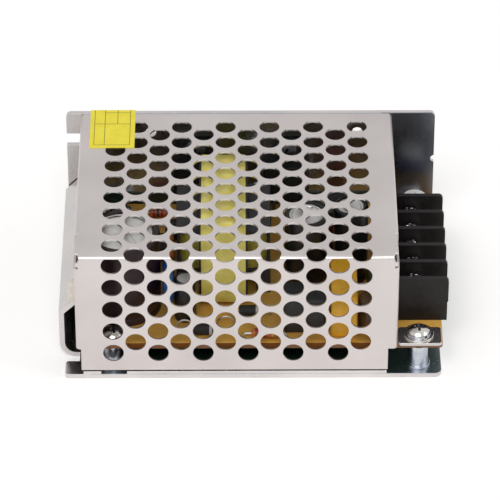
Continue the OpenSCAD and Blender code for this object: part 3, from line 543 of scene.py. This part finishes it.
# the screws, in mm: the recess has the length, width and depth of each of its two slots
screwKinds = {
    "board": {"radius": 2.4, "head": 1.4, "shank": 1.2, "length": 5.4,
              "recess": (3.2, 0.66, 1.0), "plating": "nickel plating"},
    "terminal": {"radius": 2.3, "head": 2.4, "shank": 1.72, "length": 6.0,
                 "recess": (3.3, 0.72, 1.3), "plating": "nickel plating"},
    "device": {"radius": 2.7, "head": 2.0, "shank": 1.2, "length": 2.7,
               "recess": (3.2, 0.66, 1.1), "plating": "dull tinned tab"},
    "cover": {"radius": 2.7, "head": 0.0, "shank": 1.2, "length": 3.2,
              "recess": (3.0, 0.64, 1.0), "plating": "zinc plating"},
}


def screwModel(name, kind):
    # standing on z = 0, where the head bears on its washer
    r, h, shank = kind["radius"], kind["head"], kind["shank"]
    profile = [(0, -kind["length"]), (shank, -kind["length"])]
    if h:
        crown = 1.3 * r
        profile += [(shank, 0), (r - 0.08, 0), (r, 0.08)]
        for share in (1.0, 0.9, 0.78, 0.62, 0.44, 0.24, 0.0):
            x = share * r
            profile.append((x if share < 1 else r, h - crown + math.sqrt(crown * crown - x * x)))
    else:
        profile += [(shank, shank - r), (r - 0.06, -0.06), (r - 0.12, 0), (0, 0)]
    screw = coat(turned(name, profile, 32), finish[kind["plating"]])
    screw.data.materials.append(finish["shadowed recess"])
    length, width, depth = kind["recess"]
    for turn in (0, 90):
        wedge = block("recess", (-length / 2, -width / 2, -depth), (length / 2, width / 2, 0.05))
        for material in screw.data.materials:
            wedge.data.materials.append(material)
        for face in wedge.data.polygons:
            face.material_index = 1
        narrowed(wedge, lambda corner: corner.z < -depth / 2 * mm, (0.4, 0.6, 1), (0, 0, 0))
        cutBy(screw, copied(wedge, (0, 0, h), (0, 0, turn)))
        remove(wedge)
    applyModifier(screw, "BEVEL", width=0.05 * mm, segments=1, limit_method="ANGLE",
                  angle_limit=math.radians(42))
    onlySelect(screw)
    bpy.ops.object.shade_smooth_by_angle(angle=math.radians(40))
    return screw


def makeScrews():
    model = screwModel("boardScrew", screwKinds["board"])
    length = screwKinds["board"]["length"]
    copies = [copied(model, (middle(box).x, middle(box).y, box[0].z + length), (0, 0, 20 + 37 * i))
              for i, box in enumerate(solidBoxes("board_screws"))]
    standFor(joined("boardScrews", copies), "board_screws")
    remove(model)
    model = screwModel("terminalScrew", screwKinds["terminal"])
    for number in range(1, 6):
        name = "terminal_screw_%d" % number
        box = solidBoxes(name)[0]
        bearing = box[0].z + screwKinds["terminal"]["length"]
        twin = copied(model, (middle(box).x, middle(box).y, bearing), (0, 0, 24 * number))
        standFor(twin, name)
    remove(model)
    model = screwModel("deviceScrew", screwKinds["device"])
    length = screwKinds["device"]["length"]
    copies = [copied(model, (middle(box).x, box[1].y - length, middle(box).z), (90, 30 * i, 0))
              for i, box in enumerate(solidBoxes("power_device_screws"))]
    standFor(joined("deviceScrews", copies), "power_device_screws")
    remove(model)
    model = screwModel("coverScrew", screwKinds["cover"])
    copies = [copied(model, (box[0].x, middle(box).y, middle(box).z), (0, -90, 0))
              for box in solidBoxes("cover_screws")]
    standFor(joined("coverScrews", copies), "cover_screws")
    remove(model)


# a lock washer, in mm, and the gap of its split, in degrees
lockWasher = {"inner": 1.6, "outer": 2.7, "thick": 0.4, "gap": 14}


def makeLockWashers():
    # each ring is one square section spun almost all the way round
    bpy.ops.object.select_all(action="DESELECT")
    thick = lockWasher["thick"]
    wide = lockWasher["outer"] - lockWasher["inner"]
    at = ((lockWasher["inner"] + wide / 2) * mm, 0, thick / 2 * mm)
    bpy.ops.mesh.primitive_plane_add(size=1, location=at, rotation=(math.radians(90), 0, 0), scale=(1, 1, 1))
    ring = bpy.context.active_object
    ring.scale = (wide * mm, thick * mm, 1)
    onlySelect(ring)
    bpy.ops.object.transform_apply(location=True, rotation=True, scale=True)
    editMode(ring)
    bpy.ops.mesh.spin(steps=36, angle=math.radians(360 - lockWasher["gap"]), center=(0, 0, 0), axis=(0, 0, 1))
    bpy.ops.mesh.select_all(action="SELECT")
    bpy.ops.mesh.normals_make_consistent(inside=False)
    objectMode()
    applyModifier(ring, "BEVEL", width=0.08 * mm, segments=2, limit_method="ANGLE",
                  angle_limit=math.radians(40))
    settle(ring, 40)
    copies = [copied(ring, (middle(box).x, middle(box).y, box[0].z), (0, 0, 200 + 50 * i))
              for i, box in enumerate(solidBoxes("lock_washers"))]
    standFor(coat(joined("lockWashers", copies), finish["zinc plating"]), "lock_washers")
    remove(ring)


makeScrews()
makeLockWashers()
print("screws and washers made")

# capacitors: the lip of the sleeve as a share of the radius, how far the can's top is sunk, and the score
# lines of its vent, as shares of their reach, which is itself a share of the radius
canSettings = {
    "lip": 0.8, "sunk": 0.25, "edge": 0.8, "scoreWide": 0.2, "scoreDeep": 0.13, "scoreReach": 0.86,
    "scores": [((-0.98, -0.5), (0.98, 0.55)), ((0.16, 0.11), (0.47, -0.6)), ((0.47, -0.6), (0.92, -0.36))],
}
sleeveSettings = {"wall": 0.25, "edge": 0.6}

# the cans, their sleeves, the sleeves' finish and the turn of each can's vent, in degrees
capacitorSets = [
    ("input_capacitor_can", "input_capacitor_sleeve", "brown shrink sleeve", [0]),
    ("output_capacitor_cans", "output_capacitor_sleeves", "black shrink sleeve", [35, -60]),
]


def canModel(radius, height, turn):
    r, h, edge, sunk = radius, height, canSettings["edge"], canSettings["sunk"]
    profile = [(0, 0), (r - 0.4, 0), (r, 0.4), (r, 1.3), (r - 0.3, 1.6), (r - 0.35, 1.8), (r - 0.3, 2.0)]
    profile += [(r, 2.3), (r, h - edge)] + rounding(r - edge, h - edge, edge, (30, 60, 90))
    profile += [(r - 1.15, h), (r - 1.3, h - 0.08), (r - 1.45, h - sunk), (0, h - sunk)]
    can = turned("can", profile, 48)
    reach = canSettings["scoreReach"] * r
    for start, end in canSettings["scores"]:
        start, end = Vector(start) * reach, Vector(end) * reach
        long, wide, deep = (end - start).length, canSettings["scoreWide"], canSettings["scoreDeep"]
        cutter = block("score", (-long / 2, -wide / 2, -deep), (long / 2, wide / 2, deep))
        at = (start + end) / 2
        tilt = math.degrees(math.atan2(end.y - start.y, end.x - start.x))
        cutBy(can, copied(cutter, (at.x, at.y, h - sunk), (0, 0, tilt)))
        remove(cutter)
    twin = copied(can, turn=(0, 0, turn))
    remove(can)
    return settle(twin)


def sleeveModel(radius, height):
    r, h, lip = radius, height, canSettings["lip"] * radius
    wall, edge = sleeveSettings["wall"], sleeveSettings["edge"]
    profile = [(r - wall, 0), (r, 0), (r, 1.4), (r - 0.16, 1.8), (r, 2.2), (r, h - edge)]
    profile += rounding(r - edge, h - edge, edge, (20, 40, 60, 80))
    profile += [(lip + 0.2, h), (lip + 0.04, h - 0.05), (lip, h - 0.14), (lip + 0.05, h - 0.24)]
    profile += [(r - 0.7, h - 0.26), (r - wall, h - 0.7), (r - wall, 0)]
    return turned("sleeve", profile, 56)


def makeCapacitors():
    for cans, sleeves, finishName, turns in capacitorSets:
        canCopies, sleeveCopies = [], []
        for canBox, sleeveBox, turn in zip(solidBoxes(cans), solidBoxes(sleeves), turns):
            radius, high = (canBox[1].x - canBox[0].x) / 2, canBox[1].z - canBox[0].z
            spot = (middle(canBox).x, middle(canBox).y, canBox[0].z)
            model = canModel(radius, high, turn)
            canCopies.append(copied(model, spot))
            remove(model)
            radius, high = (sleeveBox[1].x - sleeveBox[0].x) / 2, sleeveBox[1].z - sleeveBox[0].z
            model = sleeveModel(radius, high)
            sleeveCopies.append(copied(model, spot))
            remove(model)
        standFor(coat(joined(cans, canCopies), finish["drawn aluminium"]), cans)
        standFor(coat(joined(sleeves, sleeveCopies), finish[finishName]), sleeves)
    copies = []
    for box in solidBoxes("small_capacitors"):
        r, h = (box[1].x - box[0].x) / 2, box[1].z - box[0].z
        profile = [(0, 0), (r, 0), (r, 1.1), (r - 0.12, 1.4), (r, 1.7), (r, h - 0.4), (r - 0.12, h - 0.12)]
        profile += [(r - 0.4, h), (r - 0.6, h - 0.03), (r - 0.65, h - 0.15), (0, h - 0.15)]
        shell = turned("sleeve", profile, 32)
        cap = turned("top", [(0, h - 0.2), (r - 0.66, h - 0.2), (r - 0.66, h - 0.12), (0, h - 0.12)], 32)
        coat(shell, finish["black shrink sleeve"])
        coat(cap, finish["drawn aluminium"])
        copies += [copied(part, (middle(box).x, middle(box).y, box[0].z)) for part in (shell, cap)]
        remove(shell, cap)
    standFor(joined("smallCapacitors", copies), "small_capacitors")


# resistors, in mm: one lower than the low height lies on its leads, and a taller one stands
resistorSettings = {
    "radius": 1.12, "waist": 0.95, "length": 6.0, "uprightLength": 8.0, "uprightMiddle": 7.4, "wire": 0.3,
    "bulge": 1.7, "bend": 1.1, "low": 4,
}
# places of the bands, as shares of half the body
bandFinishes = [(-0.62, "red band"), (-0.3, "black band"), (0.02, "red band"), (0.6, "gold band")]


def resistorBody(length):
    # lacquered body along Z with bulged ends and four colour bands, its middle at the origin
    r, waist, half = resistorSettings["radius"], resistorSettings["waist"], length / 2
    bulge = resistorSettings["bulge"]
    profile = [(0, -half), (r - 0.35, -half), (r - 0.08, -half + 0.3), (r, -half + 0.8)]
    profile += [(r - 0.04, -half + 1.2), (waist, -half + bulge)]
    profile += [(x, -z) for x, z in reversed(profile)]
    parts = [coat(turned("body", profile, 28), finish["orange resistor lacquer"])]
    for share, finishName in bandFinishes:
        at = share * half
        radius = waist if abs(at) < half - bulge else r
        ring = [(radius - 0.1, at - 0.3), (radius + 0.02, at - 0.28), (radius + 0.02, at + 0.28)]
        ring += [(radius - 0.1, at + 0.3), (radius - 0.1, at - 0.3)]
        band = turned("band", ring, 28)
        parts.append(coat(band, finish[finishName]))
    return joined("resistorBody", parts)


def hoop(at, along, rise, steps):
    # points of a half circle from one foot to the other; along is half its width, as a vector
    at, along, up = Vector(at), Vector(along), Vector((0, 0, rise))
    turns = [math.pi * i / steps for i in range(steps + 1)]
    return [at + along * math.cos(turn) + up * math.sin(turn) for turn in turns]


# how far the axis of a bent lead lies inside the end of its CAD solid
leadInset = 0.35


def bentLead(low, high, foot, turn=0.5):
    # half of an axial lead: out of the body along X, round a bend and down into the board
    sign = 1 if high[0] > low[0] else -1
    points = [tuple(low), (high[0] - sign * turn, low[1], low[2])]
    for a in (0.4, 0.8, 1.2, 1.57):
        points.append((high[0] - sign * turn * (1 - math.sin(a)), low[1], low[2] - turn * (1 - math.cos(a))))
    return points + [(high[0], low[1], foot)]


def makeResistors():
    boxes = solidBoxes("resistors")
    tin = finish["tinned copper wire"]
    r, bend = resistorSettings["wire"], resistorSettings["bend"]
    side = resistorSettings["radius"] + 0.03
    upright = resistorBody(resistorSettings["uprightLength"])
    flat = resistorBody(resistorSettings["length"])
    lying = [box for box in boxes if box[1].z - box[0].z < resistorSettings["low"]]
    parts = []
    for box in boxes:
        if box in lying:
            continue
        foot, top = box[0].z, box[1].z
        x = middle(box).x
        y = box[0].y + side if box[0].y + side < box[1].y else middle(box).y
        parts.append(copied(upright, (x, y, foot + resistorSettings["uprightMiddle"])))
        arch = hoop((x, y + bend, top - bend - r), (0, bend, 0), bend, 10)
        points = [(x, y + 2 * bend, foot)] + arch + [(x, y, foot)]
        parts.append(coat(wire("lead", points, r), tin))
    for box in lying:
        at = Vector((middle(box).x, middle(box).y, box[1].z - side))
        parts.append(copied(flat, at, (0, 90, 0)))
        for end in (box[0].x + leadInset, box[1].x - leadInset):
            parts.append(coat(wire("lead", bentLead(at, (end, at.y, at.z), box[0].z), r), tin))
    remove(upright, flat)
    standFor(joined("resistors", parts), "resistors")


# diode body and cathode band: profiles of (radius, place along the axis)
diodeBody = [
    (0, -2.5), (1.1, -2.5), (1.25, -2.4), (1.32, -2.1),
    (1.33, 2.1), (1.25, 2.4), (1.1, 2.5), (0, 2.5),
]
diodeBand = [(1.2, 1.3), (1.345, 1.3), (1.345, 1.95), (1.2, 1.95), (1.2, 1.3)]
diodeLead = 0.33


def makeDiodes():
    # moulded bodies with a printed cathode band, lying on bent leads
    parts = []
    for box in solidBoxes("rectifier_diodes"):
        at = Vector((middle(box).x, middle(box).y, box[1].z - 1.35))
        body = turned("body", diodeBody, 28)
        band = turned("band", diodeBand, 28)
        coat(body, finish["black epoxy body"])
        coat(band, finish["silver band"])
        parts += [copied(part, at, (0, 90, 0)) for part in (body, band)]
        remove(body, band)
        for end in (box[0].x + leadInset, box[1].x - leadInset):
            lead = wire("lead", bentLead(at, (end, at.y, at.z), box[0].z), diodeLead)
            parts.append(coat(lead, finish["tinned copper wire"]))
    standFor(joined("diodes", parts), "rectifier_diodes")


def makeLinks():
    # tinned wire links, standing on the board as hoops
    radius = 0.25
    parts = []
    for box in solidBoxes("jumper_wires"):
        size = box[1] - box[0]
        foot = (middle(box).x, middle(box).y, box[0].z)
        parts.append(wire("link", hoop(foot, (size.x / 2 - radius, 0, 0), size.z - radius, 16), radius))
    standFor(coat(joined("links", parts), finish["tinned copper wire"]), "jumper_wires")


discParts = {
    # dipped discs, in mm: the rounding of the edge and the radius of the leads
    "y_capacitor": {"edge": 1.1, "lead": 0.33},
    "thermistor": {"edge": 1.3, "lead": 0.38},
}


# half the distance between the leads of a disc
leadSpread = 2.5


def makeDiscs():
    for nodeName, settings in discParts.items():
        boxes = solidBoxes(nodeName)
        low = Vector([min(box[0][i] for box in boxes) for i in range(3)])
        high = Vector([max(box[1][i] for box in boxes) for i in range(3)])
        r, t = (high.y - low.y) / 2, high.x - low.x
        e = settings["edge"]
        turns = [math.radians(angle) for angle in (0, 25, 45, 65, 80)]
        half = [(r - e + e * math.sin(turn), t / 2 * math.cos(turn) ** 0.9) for turn in turns]
        profile = [(0, t / 2)] + half + [(r, 0)] + [(x, -z) for x, z in reversed(half)] + [(0, -t / 2)]
        disc = turned("disc", [(x, z) for x, z in reversed(profile)], 40)
        at = ((low.x + high.x) / 2, (low.y + high.y) / 2, high.z - r)
        parts = [coat(copied(disc, at, (0, 90, 0)), finish[nodeFinish[nodeName]])]
        remove(disc)
        rim = at[2] - math.sqrt(r * r - leadSpread * leadSpread)
        for y in (at[1] - leadSpread, at[1] + leadSpread):
            runDown = turned("coat", [(0, 0), (0.42, 0), (0.6, 0.5), (0.85, 1.4), (0, 1.6)], 16)
            parts.append(coat(copied(runDown, (at[0], y, rim - 0.7)), finish[nodeFinish[nodeName]]))
            remove(runDown)
            lead = wire("lead", [(at[0], y, low.z), (at[0], y, at[2] - 2)], settings["lead"])
            parts.append(coat(lead, finish["tinned copper wire"]))
        standFor(joined(nodeName, parts), nodeName)


# output choke, in mm: the wire's radius, the drum's post and the thickness of its flanges
coilSettings = {"turns": 12, "wire": 0.38, "post": 2.4, "flange": 1.4}


def makeChoke():
    # enamelled wire wound on the drum, one turn arrayed up its height
    low, high = (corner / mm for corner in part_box("output_choke_coil"))
    thick = coilSettings["wire"]
    r = (high.x - low.x) / 2 - thick
    at = Vector(((low.x + high.x) / 2, (low.y + high.y) / 2, low.z + thick)) * mm
    bpy.ops.object.select_all(action="DESELECT")
    bpy.ops.mesh.primitive_torus_add(major_segments=36, minor_segments=8, major_radius=r * mm,
                                     minor_radius=thick * mm, location=at)
    coil = bpy.context.active_object
    settle(coil)
    pitch = (high.z - low.z - 2 * thick) / (coilSettings["turns"] - 1)
    applyModifier(coil, "ARRAY", count=coilSettings["turns"], use_relative_offset=False,
                  use_constant_offset=True, constant_offset_displace=(0, 0, pitch * mm))
    settle(coil, 60)
    standFor(coat(coil, finish["enamelled copper"]), "output_choke_coil")
    low, high = (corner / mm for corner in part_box("output_choke_core"))
    r, h = (high.x - low.x) / 2, high.z - low.z
    post, flange = coilSettings["post"], coilSettings["flange"]
    profile = [(0, 0), (r - 0.2, 0), (r, 0.2), (r, flange - 0.2), (r - 0.2, flange), (post, flange)]
    profile += [(post, h - flange), (r - 0.2, h - flange), (r, h - flange + 0.2), (r, h - 0.25)]
    profile += [(r - 0.25, h), (1.6, h), (1.4, h - 0.3), (0, h - 0.3)]
    drum = turned("drum", profile, 40)
    twin = copied(drum, ((low.x + high.x) / 2, (low.y + high.y) / 2, low.z))
    remove(drum)
    standFor(coat(twin, finish["dark ferrite"]), "output_choke_core")


def makeFuse():
    low, high = (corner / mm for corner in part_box("fuse"))
    r, h = (high.x - low.x) / 2, high.z - low.z
    profile = [(0, 0), (r - 0.3, 0), (r, 0.3), (r, h - 1.1), (r - 0.12, h - 0.95), (r - 0.12, h - 0.8)]
    profile += [(r, h - 0.65), (r - 0.06, h - 0.35), (r - 0.25, h - 0.12), (r - 0.6, h - 0.02), (r - 1.2, h)]
    body = turned("fuse", profile + [(0, h)], 48)
    twin = copied(body, ((low.x + high.x) / 2, (low.y + high.y) / 2, low.z))
    remove(body)
    standFor(coat(twin, finish["brown moulded fuse case"]), "fuse")


def creased(nodeName, edge, cuts, lumpMm, deepMm, angle):
    # a softened copy pressed in unevenly by up to deepMm, in lumps of about lumpMm
    piece = softened(nodeName, edge)
    editMode(piece)
    bpy.ops.mesh.subdivide(number_cuts=cuts)
    objectMode()
    texture = bpy.data.textures.new(nodeName + "Crease", "CLOUDS")
    texture.noise_scale = lumpMm * mm
    applyModifier(piece, "DISPLACE", texture=texture, strength=-deepMm * mm, mid_level=1.0,
                  texture_coords="LOCAL")
    onlySelect(piece)
    bpy.ops.object.shade_smooth_by_angle(angle=math.radians(angle))
    return coat(piece, finish[nodeFinish[nodeName]])


def makeTransformerWraps():
    # tape and winding: wraps that are a little uneven
    for nodeName, edge in (("transformer_tape", 0.08), ("transformer_winding", 0.25)):
        standFor(creased(nodeName, edge, 3, 5, 0.12, 40), nodeName)


def makeSealant():
    # a squeezed bead with an uneven edge
    standFor(creased("sealant_bead", 0.12, 2, 1.4, 0.35, 60), "sealant_bead")


makeCapacitors()
makeResistors()
makeDiodes()
makeLinks()
makeDiscs()
makeChoke()
makeFuse()
makeTransformerWraps()
makeSealant()
print("board parts made")

# studio
floorSettings = {"size": 6.0, "colour": "F7F6F5", "lift": 0.3}


def seenRays(tree):
    # 1 for rays that see the backdrop straight, in a reflection or through a clear piece, and 0 for the rest
    rays = addNode(tree, "ShaderNodeLightPath")
    seen = mathNode(tree, "MAXIMUM", rays.outputs["Is Camera Ray"], rays.outputs["Is Glossy Ray"])
    return mathNode(tree, "MAXIMUM", seen, rays.outputs["Is Transmission Ray"])


def studioFloor():
    bpy.ops.mesh.primitive_plane_add(size=floorSettings["size"], location=(0, 0, -0.05 * mm))
    floor = bpy.context.active_object
    floor.name = "studioFloor"
    material, tree, shader, _ = newMaterial("pale studio floor")
    setShader(shader, Base_Color=linearColour(floorSettings["colour"]), Roughness=0.9, Specular_IOR_Level=0.1)
    lift = mathNode(tree, "MULTIPLY", seenRays(tree), floorSettings["lift"])
    glow = addNode(tree, "ShaderNodeEmission", {"Strength": lift})
    both = addNode(tree, "ShaderNodeAddShader", {0: shader.outputs[0], 1: glow.outputs[0]})
    tree.links.new(both.outputs[0], tree.nodes["Material Output"].inputs["Surface"])
    floor.data.materials.append(material)


# strength of the white world as a light, and as it is seen
worldStrengths = (0.62, 1.0)


def studioWorld():
    world = bpy.data.worlds.new("studioWorld")
    bpy.context.scene.world = world
    world.use_nodes = True
    tree = world.node_tree
    tree.nodes.clear()
    back = addNode(tree, "ShaderNodeBackground", {"Strength": span(tree, seenRays(tree), *worldStrengths)})
    out = addNode(tree, "ShaderNodeOutputWorld")
    tree.links.new(back.outputs[0], out.inputs["Surface"])


lamps = {
    # place, aim, width and height in metres, and watts
    "keyLamp": {"at": (-0.15, -0.85, 1.15), "to": (0, 0, 0.01), "size": (0.9, 0.5), "power": 7.0},
    "fillLamp": {"at": (1.1, -0.2, 0.7), "to": (0, 0, 0.01), "size": (0.6, 0.6), "power": 2.0},
}


def studioLamps():
    for name, settings in lamps.items():
        data = bpy.data.lights.new(name, "AREA")
        data.shape = "RECTANGLE"
        data.size, data.size_y = settings["size"]
        data.energy = settings["power"]
        lamp = bpy.data.objects.new(name, data)
        bpy.context.collection.objects.link(lamp)
        lamp.location = settings["at"]
        aim = Vector(settings["to"]) - Vector(settings["at"])
        lamp.rotation_euler = aim.to_track_quat("-Z", "Y").to_euler()


# place in mm, angles in degrees, lens and sensor in mm
cameraSettings = {
    "at": (-2.33, -701.73, 538.77), "elevation": 36.75, "azimuth": -0.13, "roll": -0.09,
    "lens": 274.6, "sensor": 36,
}


def studioCamera():
    data = bpy.data.cameras.new("studioCamera")
    data.lens = cameraSettings["lens"]
    data.sensor_width = cameraSettings["sensor"]
    camera = bpy.data.objects.new("studioCamera", data)
    bpy.context.collection.objects.link(camera)
    e, a, r = (math.radians(cameraSettings[key]) for key in ("elevation", "azimuth", "roll"))
    ahead = Vector((-math.sin(a) * math.cos(e), math.cos(a) * math.cos(e), -math.sin(e)))
    side = Vector((math.cos(a), math.sin(a), 0))
    up = side.cross(ahead)
    right = side * math.cos(r) + up * math.sin(r)
    top = up * math.cos(r) - side * math.sin(r)
    turn = Matrix((right, top, -ahead)).transposed().to_4x4()
    camera.matrix_world = Matrix.Translation(Vector(cameraSettings["at"]) * mm) @ turn
    bpy.context.scene.camera = camera


studioFloor()
studioWorld()
studioLamps()
studioCamera()
bpy.context.scene.view_settings.view_transform = "Standard"
print("studio ready")
